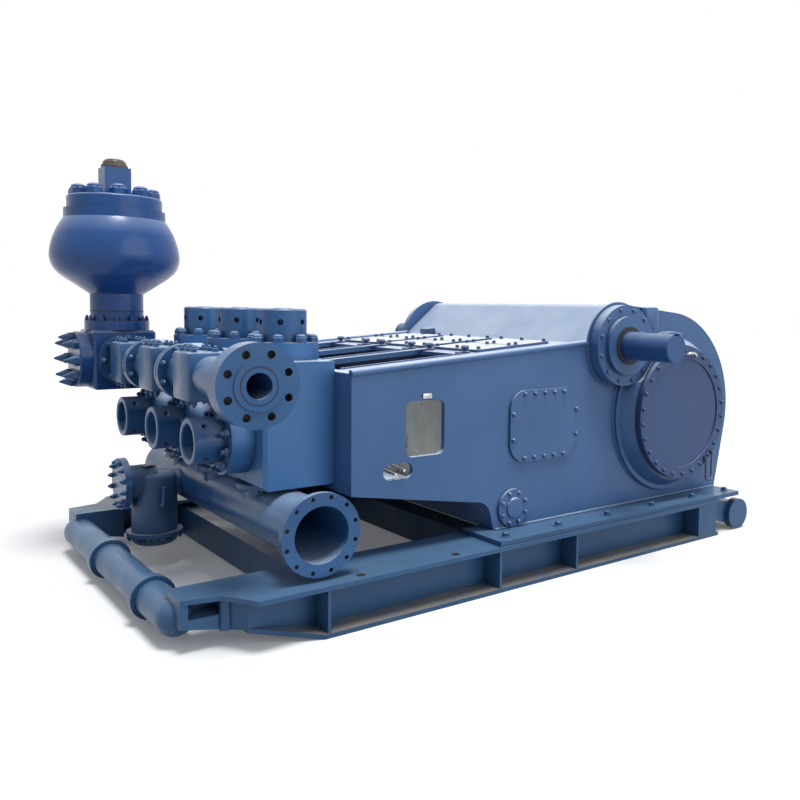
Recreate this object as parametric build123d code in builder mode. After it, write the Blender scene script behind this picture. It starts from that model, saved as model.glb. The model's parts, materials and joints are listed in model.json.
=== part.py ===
from build123d import *
from math import cos, radians, sin, tan
import os

os.makedirs("parts", exist_ok=True)

# Triplex mud pump on its own skid, millimetres.
# X runs from the fluid end (-X) to the gear end (+X), -Y is the near side, Z is up.
# The origin is at the middle of the skid's underside.

SIDES = {"near": -1, "far": 1}
BORES = {"near": -1, "middle": 0, "far": 1}

# ---- driving dimensions: skid ----
skid_height = 274.0
skid_half_width = 1394.0
runner_flange_width = 449.0
lower_flange_width = 320.0
skid_flange_t = 25.0
skid_web_t = 16.0
skid_web_y = 1235.0
skid_rear_x = 1815.0
shoulder_x = -1825.0
nose_x = -2125.0
nose_outer_y = 1158.0
nose_lift = 130.0
pocket_front_x = -2085.0
pocket_rear_x = -1905.0
pocket_bottom_z = 168.0
pocket_depth = 140.0
post_r = 30.0
sled_x = -1477.0
stiffener_xs = (-1454.0, -327.0, 311.0, 1586.0)
cross_beam_xs = (-1330.0, -100.0, 1400.0)
cross_beam_height = 200.0
cross_beam_width = 180.0
cross_beam_wall = 12.0
tow_pipe_r = 95.0
tow_pipe_bore_r = 80.0
tow_collar_r = 118.0
tow_collar_length = 60.0
tow_collar_ys = (-614.0, 239.0)
front_pipe_x = -2094.0
front_pipe_z = 140.0
rear_pipe_x = 2105.0
rear_pipe_half_length = 1370.0
rear_arm_inner_y = 1140.0
rear_arm_outer_y = 1330.0
rear_arm_bottom_z = 110.0
rear_pipe_z = 120.0

# ---- driving dimensions: power end ----
frame_half_width = 1140.0
wall_t = 32.0
plate_t = 25.0
frame_front_x = -1195.0
frame_front_bottom_z = 654.0
deck_front_z = 1334.0
deck_slope = 4.6
hood_foot_x = 610.0
hood_x = 960.0
hood_z = 1650.0
hood_r = 100.0
crank_x = 1470.0
crank_z = 958.0
drum_r = 742.0
base_rear_x = 2085.0
base_front_x = -320.0
foot_front_x = -190.0
knee_x = -236.0
knee_z = 487.0
knee_r = 110.0
base_flange_t = 32.0
base_flange_inner_y = 985.0
base_flange_outer_y = 1380.0
chamber_rear_x = -215.0
slot_front_x = -1135.0
slot_rear_x = -270.0
slot_width = 490.0
deck_cover_t = 18.0
deck_cover_front_x = -150.0
deck_cover_width = 520.0
deck_cover_corner_r = 15.0
deck_cover_rear_x = 480.0
window_front_x = -845.0
window_rear_x = -575.0
window_bottom_z = 835.0
window_top_z = 1162.0
window_corner_r = 44.0
low_slot_x = -895.0
low_slot_z = 762.0
low_slot_length = 198.0
low_slot_height = 90.0
rim_r = 22.0

# ---- driving dimensions: covers, hubs and shaft ----
boss_r = 590.0
boss_ring_depth = 32.0
boss_cone_r = 558.0
boss_front_r = 505.0
boss_depth = 122.0
bearing_cover_r = 482.0
bearing_cover_t = 43.0
bearing_cover_dish_r = 400.0
bearing_cover_dish = 8.0
pinion_x = 905.0
pinion_z = 1462.0
hub_r = 284.0
hub_depth = 90.0
hub_gap = 1.0
hub_cover_r = 205.0
hub_cover_t = 32.0
shaft_r = 98.425
journal_r = 104.0
journal_clearance = 0.05
journal_stand_out = 12.0
shaft_half_length = 1675.0
keyway_width = 50.0
keyway_depth = 18.0
keyway_length = 260.0
crosshead_front_x = -75.0
crosshead_rear_x = 527.0
crosshead_bottom_z = 718.0
crosshead_top_z = 1185.0
crosshead_cover_t = 16.0
crosshead_front_r = 130.0
crosshead_rear_cut = 110.0
sump_x = -38.0
sump_z = 432.0
sump_r = 122.0
sump_cover_t = 20.0

# ---- driving dimensions: fluid end ----
bore_pitch = 636.0
module_half_width = 311.0
module_front_x = -1609.0
module_bottom_z = 698.0
module_top_z = 1394.0
module_edge = 18.0
cap_x = -1362.0
top_boss_r = 200.0
top_boss_h = 99.0
cap_r = 133.0
cap_h = 190.0
bar_hole_r = 17.0
bar_hole_depth = 60.0
front_boss_r = 198.0
front_boss_depth = 130.0
plug_r = 128.0
plug_length = 170.0
plug_bore_r = 96.0
plug_recess = 105.0
port_z = 1315.0
port_boss_r = 148.0
port_boss_depth = 60.0

# ---- driving dimensions: discharge ----
manifold_x = -1815.0
manifold_r = 112.0
discharge_bore_r = 65.0
discharge_face_y = -1382.0
discharge_flange_r = 209.5
discharge_flange_t = 113.0
discharge_pcd = 323.8
discharge_bolts = 8
discharge_bolt_r = 20.65
raised_face_r = 124.0
raised_face_h = 6.0
branch_r = 100.0
branch_flange_t = 52.0
cross_y = 1067.0
cross_half = 200.0
cross_flange_r = 178.0
cross_flange_t = 36.0
blind_r = 190.0
blind_t = 78.0

# ---- driving dimensions: pulsation dampener ----
neck_r = 168.0
neck_foot_r = 205.0
neck_foot_h = 64.0
neck_top_z = 1762.0
ball_r = 408.0
ball_z = 2022.0
mouth_r = 318.0
mouth_bottom_z = 2272.0
mouth_top_z = 2334.0
dampener_cover_r = 298.0
dampener_cover_h = 90.0
valve_block_side = 168.0
valve_block_h = 199.0
valve_cap_r = 76.0
valve_cap_h = 62.0

# ---- driving dimensions: suction ----
suction_x = -1450.0
suction_z = 517.0
suction_r = 162.0
suction_bore_r = 152.5
suction_face_y = -1300.0
suction_end_y = 1180.0
suction_flange_r = 222.5
suction_flange_t = 38.0
suction_pcd = 400.0
suction_bolts = 12
suction_bolt_r = 12.0
riser_r = 140.0
riser_flange_r = 188.0
riser_flange_t = 26.0
stabilizer_x = -1757.0
stabilizer_y = 478.0
stabilizer_r = 140.0
stabilizer_bottom_z = 130.0
stabilizer_top_z = 605.0
stabilizer_link_r = 84.0
stabilizer_face_z = 545.0
stabilizer_neck_r = 110.0
stabilizer_neck_depth = 175.0
stabilizer_cover_r = 165.0
stabilizer_cover_t = 40.0

# ---- places worked out from the driving dimensions ----
wall_inner_y = frame_half_width - wall_t
deck_rise = tan(radians(deck_slope))
hood_foot_z = deck_front_z + (hood_foot_x - frame_front_x) * deck_rise
base_z = skid_height + base_flange_t
runner_inner_y = skid_half_width - runner_flange_width
module_depth = frame_front_x - module_front_x
cap_top_z = module_top_z + top_boss_h + cap_h
deck_plane = Plane(
    origin=(frame_front_x, 0, deck_front_z),
    x_dir=(cos(radians(deck_slope)), 0, sin(radians(deck_slope))),
    z_dir=(-sin(radians(deck_slope)), 0, cos(radians(deck_slope))),
)


def side_plane(side, y):
    """Upright plane at distance y from the middle on the given side, drawn in X and Z."""
    return Plane.XZ.offset(-side * y)


def outwards(side, depth):
    """Extrusion amount that leads away from the middle on a plane of side_plane."""
    return -side * depth


def underside_z(x):
    """Height of the skid's underside, which lifts in front of sled_x."""
    return nose_lift * max(0, sled_x - x) / (sled_x - nose_x)


def along_deck(x):
    """Distance up the sloping deck, from its front edge, of a point above x."""
    return (x - frame_front_x) / cos(radians(deck_slope))


def save(piece, name):
    """Labels the finished piece and writes its STEP file."""
    piece.part.label = name
    export_step(piece.part, f"parts/{name}.step")


# ---- skid ----
def make_runner(side, name):
    """I-section beam with a wide top plate, a web, stiffeners and a lifted, narrowed nose."""
    top_z = skid_height - skid_flange_t
    with BuildPart() as runner:
        # Top plate: straight inner edge, outer edge drawn in at the shoulder.
        with BuildSketch(Plane.XY.offset(top_z)):
            with BuildLine():
                Polyline(
                    (skid_rear_x, runner_inner_y),
                    (nose_x, runner_inner_y),
                    (nose_x, nose_outer_y),
                    (shoulder_x - 120, nose_outer_y + 40),
                )
                ThreePointArc(
                    (shoulder_x - 120, nose_outer_y + 40),
                    (shoulder_x - 62, nose_outer_y + 130),
                    (shoulder_x, skid_half_width),
                )
                Polyline(
                    (shoulder_x, skid_half_width),
                    (skid_rear_x, skid_half_width),
                    (skid_rear_x, runner_inner_y),
                )
            make_face()
        extrude(amount=skid_flange_t)
        # Web and nose box, both with the lifted underside of a sled.
        for front_x, rear_x, inner_y, outer_y in (
            (shoulder_x, skid_rear_x, skid_web_y - skid_web_t / 2, skid_web_y + skid_web_t / 2),
            (nose_x, shoulder_x, runner_inner_y, nose_outer_y),
        ):
            with BuildSketch(Plane.XZ.offset(-outer_y)):
                with BuildLine():
                    Polyline(
                        (front_x, top_z),
                        (front_x, underside_z(front_x)),
                        *((sled_x, 0),) * (rear_x > sled_x),
                        (rear_x, underside_z(rear_x)),
                        (rear_x, top_z),
                        close=True,
                    )
                make_face()
            extrude(amount=outer_y - inner_y)
        # Open pocket in the outer face of the nose, with a round post at its back.
        with BuildSketch(Plane.XZ.offset(-nose_outer_y)):
            with Locations(((pocket_front_x + pocket_rear_x) / 2, (pocket_bottom_z + top_z) / 2)):
                Rectangle(pocket_rear_x - pocket_front_x, top_z - pocket_bottom_z)
        extrude(amount=pocket_depth, mode=Mode.SUBTRACT)
        post_bottom_z = underside_z(pocket_rear_x)
        with BuildSketch(Plane.XY.offset(post_bottom_z)):
            with Locations((pocket_rear_x, nose_outer_y)):
                Circle(post_r)
        extrude(amount=top_z - post_bottom_z)
        # Lower flange.
        with BuildSketch(Plane.XY):
            with Locations(((skid_rear_x + sled_x) / 2, skid_half_width - lower_flange_width / 2)):
                Rectangle(skid_rear_x - sled_x, lower_flange_width)
        extrude(amount=skid_flange_t)
        # Its front end bends up under the web and tapers to meet it.
        with BuildSketch(Plane.XZ.offset(-skid_half_width)):
            with BuildLine():
                Polyline(
                    (sled_x, 0),
                    (shoulder_x, underside_z(shoulder_x)),
                    (shoulder_x, underside_z(shoulder_x) + skid_flange_t),
                    (sled_x, skid_flange_t),
                    close=True,
                )
            make_face()
        extrude(amount=lower_flange_width)
        with BuildSketch(Plane.XY):
            with BuildLine():
                Polyline(
                    (sled_x, skid_half_width),
                    (shoulder_x, skid_web_y + skid_web_t / 2),
                    (shoulder_x, skid_half_width),
                    close=True,
                )
            make_face()
        extrude(amount=top_z, mode=Mode.SUBTRACT)
        # Stiffeners on both faces of the web.
        for x in stiffener_xs:
            with Locations((x, skid_half_width - lower_flange_width / 2, skid_flange_t)):
                Box(
                    skid_web_t,
                    lower_flange_width - 8,
                    skid_height - 2 * skid_flange_t,
                    align=(Align.CENTER, Align.CENTER, Align.MIN),
                )
        if side < 0:
            mirror(about=Plane.XZ, mode=Mode.REPLACE)
    save(runner, name)


for side_name, side in SIDES.items():
    make_runner(side, f"{side_name}_runner")

with BuildPart() as skid_cross_beams:
    for x in cross_beam_xs:
        with BuildSketch(Plane.XZ):
            with Locations((x, skid_flange_t + cross_beam_height / 2)):
                Rectangle(cross_beam_width, cross_beam_height)
                Rectangle(
                    cross_beam_width - 2 * cross_beam_wall,
                    cross_beam_height - 2 * cross_beam_wall,
                    mode=Mode.SUBTRACT,
                )
        extrude(amount=skid_web_y - skid_web_t / 2, both=True)
save(skid_cross_beams, "skid_cross_beams")

with BuildPart() as front_tow_pipe:
    with BuildSketch(Plane.XZ):
        with Locations((front_pipe_x, front_pipe_z)):
            Circle(tow_pipe_r)
    extrude(amount=runner_inner_y, both=True)
    for collar_y in tow_collar_ys:
        with BuildSketch(Plane.XZ.offset(-collar_y)):
            with Locations((front_pipe_x, front_pipe_z)):
                Circle(tow_collar_r)
        extrude(amount=tow_collar_length / 2, both=True)
    with BuildSketch(Plane.XZ):
        with Locations((front_pipe_x, front_pipe_z)):
            Circle(tow_pipe_bore_r)
    extrude(amount=runner_inner_y, both=True, mode=Mode.SUBTRACT)
save(front_tow_pipe, "front_tow_pipe")

with BuildPart() as rear_tow_pipe:
    with BuildSketch(Plane.XZ):
        with Locations((rear_pipe_x, rear_pipe_z)):
            Circle(tow_pipe_r)
    extrude(amount=rear_pipe_half_length, both=True)
    for side in SIDES.values():
        with BuildSketch(side_plane(side, rear_pipe_half_length - tow_collar_length)):
            with Locations((rear_pipe_x, rear_pipe_z)):
                Circle(tow_collar_r)
        extrude(amount=outwards(side, tow_collar_length))
        # Arm that joins the pipe to the end of the runner.
        with BuildSketch(side_plane(side, rear_arm_inner_y)):
            with BuildLine():
                Polyline(
                    (skid_rear_x, rear_arm_bottom_z),
                    (skid_rear_x, skid_height - skid_flange_t),
                    (rear_pipe_x, rear_pipe_z + tow_pipe_r),
                    (rear_pipe_x, rear_pipe_z - tow_pipe_r),
                    close=True,
                )
            make_face()
        extrude(amount=outwards(side, rear_arm_outer_y - rear_arm_inner_y))
    with BuildSketch(Plane.XZ):
        with Locations((rear_pipe_x, rear_pipe_z)):
            Circle(tow_pipe_bore_r)
    extrude(amount=rear_pipe_half_length - tow_collar_length / 2, both=True, mode=Mode.SUBTRACT)
save(rear_tow_pipe, "rear_tow_pipe")


# ---- power-end frame: side view of the casing ----
with BuildSketch() as case_outline:
    # Gear case: drum round the crankshaft, hood over the pinion, straight rear leg.
    with Locations((hood_x, hood_z)):
        Circle(hood_r)
    with Locations((crank_x, crank_z)):
        Circle(drum_r)
    with BuildLine():
        Polyline((hood_foot_x, hood_foot_z), (base_rear_x, base_z), (crank_x, base_z), close=True)
    make_face()
    make_hull()
    with Locations((0, base_z)):
        Rectangle(4 * drum_r + 4 * crank_x, 4 * drum_r, align=(Align.CENTER, Align.MIN), mode=Mode.INTERSECT)
    # Crosshead and liner frame with its sloping deck and underside.
    with BuildLine():
        Polyline(
            (frame_front_x, frame_front_bottom_z),
            (frame_front_x, deck_front_z),
            (hood_foot_x, hood_foot_z),
            (crank_x, hood_foot_z),
            (crank_x, base_z),
            (foot_front_x, base_z),
            (knee_x, knee_z),
            close=True,
        )
    make_face()
    knee = case_outline.vertices().sort_by_distance((knee_x, knee_z))[0]
    fillet(knee, knee_r)

with BuildSketch() as case_inside:
    offset(case_outline.sketch, amount=-plate_t)


def make_base_flange(side, name):
    """Foot plate that carries one frame wall on the top of a runner."""
    with BuildPart() as flange:
        with Locations(((base_front_x + base_rear_x) / 2, side * (base_flange_inner_y + base_flange_outer_y) / 2)):
            with Locations((0, 0, skid_height)):
                Box(
                    base_rear_x - base_front_x,
                    base_flange_outer_y - base_flange_inner_y,
                    base_flange_t,
                    align=(Align.CENTER, Align.CENTER, Align.MIN),
                )
    save(flange, name)


def make_frame_wall(side, name):
    """Side wall with its window, the low slot, the pinion bore and the rounded top rim."""
    with BuildPart() as wall:
        with BuildSketch(side_plane(side, wall_inner_y)):
            add(case_outline.sketch)
            with Locations(((window_front_x + window_rear_x) / 2, (window_bottom_z + window_top_z) / 2)):
                RectangleRounded(
                    window_rear_x - window_front_x,
                    window_top_z - window_bottom_z,
                    window_corner_r,
                    mode=Mode.SUBTRACT,
                )
            with Locations((low_slot_x, low_slot_z)):
                SlotOverall(low_slot_length, low_slot_height, mode=Mode.SUBTRACT)
            with Locations((pinion_x, pinion_z)):
                Circle(journal_r + journal_stand_out, mode=Mode.SUBTRACT)
        extrude(amount=outwards(side, wall_t))
        # Round bar along the deck edge, stopped short of the pinion hub.
        rim_length = along_deck(pinion_x - hub_r - rim_r)
        rim_plane = Plane(
            origin=(frame_front_x, side * (wall_inner_y + rim_r), deck_front_z),
            x_dir=(0, 1, 0),
            z_dir=deck_plane.x_dir,
        )
        with BuildSketch(rim_plane):
            Circle(rim_r)
        extrude(amount=rim_length)
    save(wall, name)


for side_name, side in SIDES.items():
    make_base_flange(side, f"{side_name}_base_flange")
    make_frame_wall(side, f"{side_name}_frame_wall")


# ---- power-end frame: plates between the walls ----
def case_section(low_x, high_x, low_z, high_z):
    """Side view of the casing skin inside one rectangle."""
    with BuildSketch() as section:
        add(case_outline.sketch)
        add(case_inside.sketch, mode=Mode.SUBTRACT)
        with Locations(((low_x + high_x) / 2, (low_z + high_z) / 2)):
            Rectangle(high_x - low_x, high_z - low_z, mode=Mode.INTERSECT)
    return section.sketch


far_off = 4 * drum_r
front_inner_x = frame_front_x + plate_t
split_z = (deck_front_z + frame_front_bottom_z) / 2
skin_ranges = {
    "frame_front_plate": (frame_front_x, front_inner_x, 0, far_off),
    "frame_underside": (front_inner_x, crank_x, 0, split_z),
    "gear_case_rear": (crank_x, crank_x + far_off, 0, far_off),
    "gear_case_hood": (hood_foot_x, crank_x, split_z, far_off),
}
for name, limits in skin_ranges.items():
    with BuildPart() as skin_plate:
        with BuildSketch(Plane.XZ):
            add(case_section(*limits))
        extrude(amount=wall_inner_y, both=True)
    save(skin_plate, name)


with BuildPart() as frame_deck:
    with BuildSketch(Plane.XZ):
        add(case_section(front_inner_x, hood_foot_x, split_z, far_off))
    extrude(amount=wall_inner_y, both=True)
    # Three open slots over the liners, one for each bore.
    with BuildSketch(deck_plane):
        with Locations((along_deck((slot_front_x + slot_rear_x) / 2), 0)):
            with GridLocations(0, bore_pitch, 1, 3):
                Rectangle(along_deck(slot_rear_x) - along_deck(slot_front_x), slot_width)
    extrude(amount=2 * plate_t, both=True, mode=Mode.SUBTRACT)
save(frame_deck, "frame_deck")

with BuildPart() as chamber_rear_wall:
    with BuildSketch(Plane.XZ):
        add(case_inside.sketch)
        with Locations((chamber_rear_x, 0)):
            Rectangle(plate_t, far_off, align=(Align.CENTER, Align.MIN), mode=Mode.INTERSECT)
    extrude(amount=wall_inner_y, both=True)
save(chamber_rear_wall, "chamber_rear_wall")

with BuildPart() as deck_covers:
    with BuildSketch(deck_plane):
        with Locations((along_deck((deck_cover_front_x + deck_cover_rear_x) / 2), 0)):
            with GridLocations(0, bore_pitch, 1, 3):
                RectangleRounded(
                    along_deck(deck_cover_rear_x) - along_deck(deck_cover_front_x),
                    deck_cover_width,
                    deck_cover_corner_r,
                )
    extrude(amount=deck_cover_t)
save(deck_covers, "deck_covers")


# ---- bearing bosses, hubs and access covers ----
def make_bearing_boss(side, name):
    """Ring and tapered boss round the main bearing, cut away where the pinion hub sits."""
    with BuildPart() as boss:
        with BuildSketch(Plane.XY.offset(crank_z)):
            with BuildLine():
                ring_y = side * (frame_half_width + boss_ring_depth)
                face_y = side * (frame_half_width + boss_depth)
                Polyline(
                    (crank_x, side * frame_half_width),
                    (crank_x + boss_r, side * frame_half_width),
                    (crank_x + boss_r, ring_y),
                    (crank_x + boss_cone_r, ring_y),
                    (crank_x + boss_front_r, face_y),
                    (crank_x, face_y),
                    close=True,
                )
            make_face()
        revolve(axis=Axis((crank_x, 0, crank_z), (0, 1, 0)))
        with BuildSketch(side_plane(side, frame_half_width)):
            with Locations((pinion_x, pinion_z)):
                Circle(hub_r + hub_gap)
        extrude(amount=outwards(side, boss_depth), mode=Mode.SUBTRACT)
    save(boss, name)


def make_bearing_cover(side, name):
    """Bolted bearing cover with a shallow dished face."""
    with BuildPart() as cover:
        with BuildSketch(side_plane(side, frame_half_width + boss_depth)):
            with Locations((crank_x, crank_z)):
                Circle(bearing_cover_r)
        extrude(amount=outwards(side, bearing_cover_t))
        with BuildSketch(side_plane(side, frame_half_width + boss_depth + bearing_cover_t)):
            with Locations((crank_x, crank_z)):
                Circle(bearing_cover_dish_r)
        extrude(amount=outwards(side, -bearing_cover_dish), mode=Mode.SUBTRACT)
    save(cover, name)


def make_pinion_hub(side, name):
    """Two-stepped hub that carries the pinion shaft in a running bore."""
    with BuildPart() as hub:
        for radius, depth in ((hub_r, hub_depth), (hub_cover_r, hub_depth + hub_cover_t)):
            with BuildSketch(side_plane(side, frame_half_width)):
                with Locations((pinion_x, pinion_z)):
                    Circle(radius)
            extrude(amount=outwards(side, depth))
        with BuildSketch(side_plane(side, frame_half_width)):
            with Locations((pinion_x, pinion_z)):
                Circle(journal_r + journal_clearance)
        extrude(amount=outwards(side, hub_depth + hub_cover_t), mode=Mode.SUBTRACT)
    save(hub, name)


def make_crosshead_cover(side, name):
    """D-shaped inspection cover: rounded towards the fluid end, clipped towards the gears."""
    with BuildPart() as cover:
        with BuildSketch(side_plane(side, frame_half_width)) as outline:
            with Locations(
                ((crosshead_front_x + crosshead_rear_x) / 2, (crosshead_bottom_z + crosshead_top_z) / 2)
            ):
                Rectangle(crosshead_rear_x - crosshead_front_x, crosshead_top_z - crosshead_bottom_z)
            by_x = outline.vertices().group_by(Axis.X)
            fillet(by_x[0], crosshead_front_r)
            rear_corners = outline.vertices().group_by(Axis.X)[-1]
            chamfer(rear_corners, crosshead_rear_cut)
        extrude(amount=outwards(side, crosshead_cover_t))
    save(cover, name)


def make_sump_cover(side, name):
    """Small round cover low on the wall."""
    with BuildPart() as cover:
        with BuildSketch(side_plane(side, frame_half_width)):
            with Locations((sump_x, sump_z)):
                Circle(sump_r)
        extrude(amount=outwards(side, sump_cover_t))
    save(cover, name)


for side_name, side in SIDES.items():
    make_bearing_boss(side, f"{side_name}_bearing_boss")
    make_bearing_cover(side, f"{side_name}_bearing_cover")
    make_pinion_hub(side, f"{side_name}_pinion_hub")
    make_crosshead_cover(side, f"{side_name}_crosshead_cover")
    make_sump_cover(side, f"{side_name}_sump_cover")

with BuildPart() as pinion_shaft:
    with BuildSketch(Plane.XZ):
        with Locations((pinion_x, pinion_z)):
            Circle(shaft_r)
    extrude(amount=shaft_half_length, both=True)
    chamfer(pinion_shaft.edges().filter_by(GeomType.CIRCLE), shaft_r / 20)
    # Journal that runs in the two hubs.
    with BuildSketch(Plane.XZ):
        with Locations((pinion_x, pinion_z)):
            Circle(journal_r)
    extrude(amount=frame_half_width + hub_depth + hub_cover_t + journal_stand_out, both=True)
    # Keyway at each end.
    for side in SIDES.values():
        with Locations(
            (pinion_x, side * (shaft_half_length - keyway_length / 2), pinion_z + shaft_r - keyway_depth / 2)
        ):
            Box(keyway_width, keyway_length, keyway_depth, mode=Mode.SUBTRACT)
save(pinion_shaft, "pinion_shaft")


# ---- fluid end ----
def make_module(y, name):
    """Forged valve block with its top boss, cylinder boss and discharge port boss."""
    with BuildPart() as module:
        with Locations(((module_front_x + frame_front_x) / 2, y, module_bottom_z)):
            Box(
                module_depth,
                2 * module_half_width,
                module_top_z - module_bottom_z,
                align=(Align.CENTER, Align.CENTER, Align.MIN),
            )
        front_edges = module.faces().sort_by(Axis.X)[0].edges()
        chamfer(front_edges, module_edge)
        with BuildSketch(Plane.XY.offset(module_top_z)):
            with Locations((cap_x, y)):
                Circle(top_boss_r)
        extrude(amount=top_boss_h)
        # Cylinder boss and discharge port boss stand out of the front face.
        front = Plane(origin=(module_front_x, y, 0), x_dir=(0, 1, 0), z_dir=(-1, 0, 0))
        with BuildSketch(front):
            with Locations((0, -crank_z)):
                Circle(front_boss_r)
        extrude(amount=front_boss_depth)
        with BuildSketch(front):
            with Locations((0, -port_z)):
                Circle(port_boss_r)
        extrude(amount=port_boss_depth)
    save(module, name)


def make_valve_cap(y, name):
    """Screwed valve cap with bar holes round its side and a shallow top recess."""
    with BuildPart() as cap:
        with BuildSketch(Plane.XY.offset(module_top_z + top_boss_h)):
            with Locations((cap_x, y)):
                Circle(cap_r)
        extrude(amount=cap_h)
        chamfer(cap.faces().sort_by(Axis.Z)[-1].edges(), cap_r / 14)
        for angle in range(0, 360, 60):
            hole = Plane(
                origin=(cap_x, y, cap_top_z - cap_h * 0.4),
                x_dir=(0, 0, 1),
                z_dir=(cos(radians(angle)), sin(radians(angle)), 0),
            )
            with BuildSketch(hole.offset(cap_r - bar_hole_depth)):
                Circle(bar_hole_r)
            extrude(amount=bar_hole_depth + bar_hole_r, mode=Mode.SUBTRACT)
    save(cap, name)


def make_cylinder_plug(y, name):
    """Hollow screwed cylinder plug with radial bar holes."""
    axis_plane = Plane(
        origin=(module_front_x - front_boss_depth, y, crank_z), x_dir=(0, 1, 0), z_dir=(-1, 0, 0)
    )
    with BuildPart() as plug:
        with BuildSketch(axis_plane):
            Circle(plug_r)
        extrude(amount=plug_length)
        with BuildSketch(axis_plane.offset(plug_length - plug_recess)):
            Circle(plug_bore_r)
        extrude(amount=plug_recess, mode=Mode.SUBTRACT)
        chamfer(plug.faces().sort_by(Axis.X)[0].edges(), plug_r / 20)
        for angle in range(45, 405, 90):
            hole = Plane(
                origin=(module_front_x - front_boss_depth - plug_length * 0.62, y, crank_z),
                x_dir=(1, 0, 0),
                z_dir=(0, cos(radians(angle)), sin(radians(angle))),
            )
            with BuildSketch(hole.offset(plug_bore_r / 2)):
                Circle(bar_hole_r)
            extrude(amount=plug_r, mode=Mode.SUBTRACT)
    save(plug, name)


for bore_name, bore in BORES.items():
    make_module(bore * bore_pitch, f"{bore_name}_module")
    make_valve_cap(bore * bore_pitch, f"{bore_name}_valve_cap")
    make_cylinder_plug(bore * bore_pitch, f"{bore_name}_cylinder_plug")

# ---- discharge ----
cross_near_y = cross_y - cross_half
with BuildPart() as discharge_manifold:
    with BuildSketch(side_plane(1, cross_near_y)):
        with Locations((manifold_x, port_z)):
            Circle(manifold_r)
    extrude(amount=cross_near_y - discharge_face_y)
    # Weld-neck discharge flange with a raised face.
    with BuildSketch(Plane.YZ.offset(manifold_x)):
        with BuildLine():
            neck_y = discharge_face_y + discharge_flange_t
            Polyline(
                (discharge_face_y, port_z),
                (discharge_face_y, port_z + raised_face_r),
                (discharge_face_y + raised_face_h, port_z + raised_face_r),
                (discharge_face_y + raised_face_h, port_z + discharge_flange_r),
                (neck_y, port_z + discharge_flange_r),
                (neck_y, port_z + manifold_r * 1.4),
                (neck_y + manifold_r, port_z + manifold_r),
                (neck_y + manifold_r, port_z),
                close=True,
            )
        make_face()
    revolve(axis=Axis((manifold_x, 0, port_z), (0, 1, 0)))
    # Branches to the three modules.
    port_face_x = module_front_x - port_boss_depth
    for bore in BORES.values():
        branch = Plane(origin=(port_face_x, bore * bore_pitch, port_z), x_dir=(0, 1, 0), z_dir=(-1, 0, 0))
        with BuildSketch(branch):
            Circle(port_boss_r)
        extrude(amount=branch_flange_t)
        with BuildSketch(branch):
            Circle(branch_r)
        extrude(amount=port_face_x - manifold_x)
    # Flange that meets the cross.
    with BuildSketch(side_plane(1, cross_near_y)):
        with Locations((manifold_x, port_z)):
            Circle(cross_flange_r)
    extrude(amount=cross_flange_t)
    # Through bore and the bolt circle of the outlet flange.
    with BuildSketch(side_plane(1, cross_near_y)):
        with Locations((manifold_x, port_z)):
            Circle(discharge_bore_r)
    extrude(amount=cross_near_y - discharge_face_y, mode=Mode.SUBTRACT)
    with BuildSketch(side_plane(-1, -discharge_face_y)):
        with Locations((manifold_x, port_z)):
            with PolarLocations(discharge_pcd / 2, discharge_bolts, start_angle=180 / discharge_bolts):
                Circle(discharge_bolt_r)
    extrude(amount=-discharge_flange_t, mode=Mode.SUBTRACT)
save(discharge_manifold, "discharge_manifold")

with BuildPart() as discharge_cross:
    with Locations((manifold_x, cross_y, port_z)):
        Box(2 * cross_half, 2 * cross_half, 2 * cross_half)
    chamfer(discharge_cross.edges(), cross_half / 12)
save(discharge_cross, "discharge_cross")

with BuildPart() as cross_blind_flange:
    with BuildSketch(Plane.YZ.offset(manifold_x - cross_half)):
        with Locations((cross_y, port_z)):
            Circle(blind_r)
    extrude(amount=-blind_t)
    chamfer(cross_blind_flange.faces().sort_by(Axis.X)[0].edges(), blind_t / 10)
save(cross_blind_flange, "cross_blind_flange")

# ---- pulsation dampener ----
cross_top_z = port_z + cross_half
dampener_axis = Axis((manifold_x, cross_y, 0), (0, 0, 1))
dampener_side_view = Plane(origin=(manifold_x, cross_y, 0), x_dir=(1, 0, 0), z_dir=(0, -1, 0))
with BuildPart() as dampener_body:
    with BuildSketch(dampener_side_view):
        with BuildLine():
            Polyline(
                (0, mouth_top_z),
                (0, cross_top_z),
                (neck_foot_r, cross_top_z),
                (neck_foot_r, cross_top_z + neck_foot_h),
                (neck_r, cross_top_z + neck_foot_h),
                (neck_r, neck_top_z),
            )
            Spline(
                (neck_r, neck_top_z),
                (neck_r + (ball_r - neck_r) * 0.52, neck_top_z + (ball_z - neck_top_z) * 0.33),
                (ball_r, ball_z),
                tangents=((0.75, 0.5), (0, 1)),
            )
            ThreePointArc(
                (ball_r, ball_z),
                (ball_r - (ball_r - mouth_r) * 0.33, ball_z + (mouth_bottom_z - ball_z) * 0.55),
                (mouth_r, mouth_bottom_z),
            )
            Polyline((mouth_r, mouth_bottom_z), (mouth_r, mouth_top_z), (0, mouth_top_z))
        make_face()
    revolve(axis=dampener_axis)
save(dampener_body, "dampener_body")

with BuildPart() as dampener_cover:
    with BuildSketch(Plane.XY.offset(mouth_top_z)):
        with Locations((manifold_x, cross_y)):
            Circle(dampener_cover_r)
    extrude(amount=dampener_cover_h)
    fillet(dampener_cover.faces().sort_by(Axis.Z)[-1].edges(), dampener_cover_h / 5)
save(dampener_cover, "dampener_cover")

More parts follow.
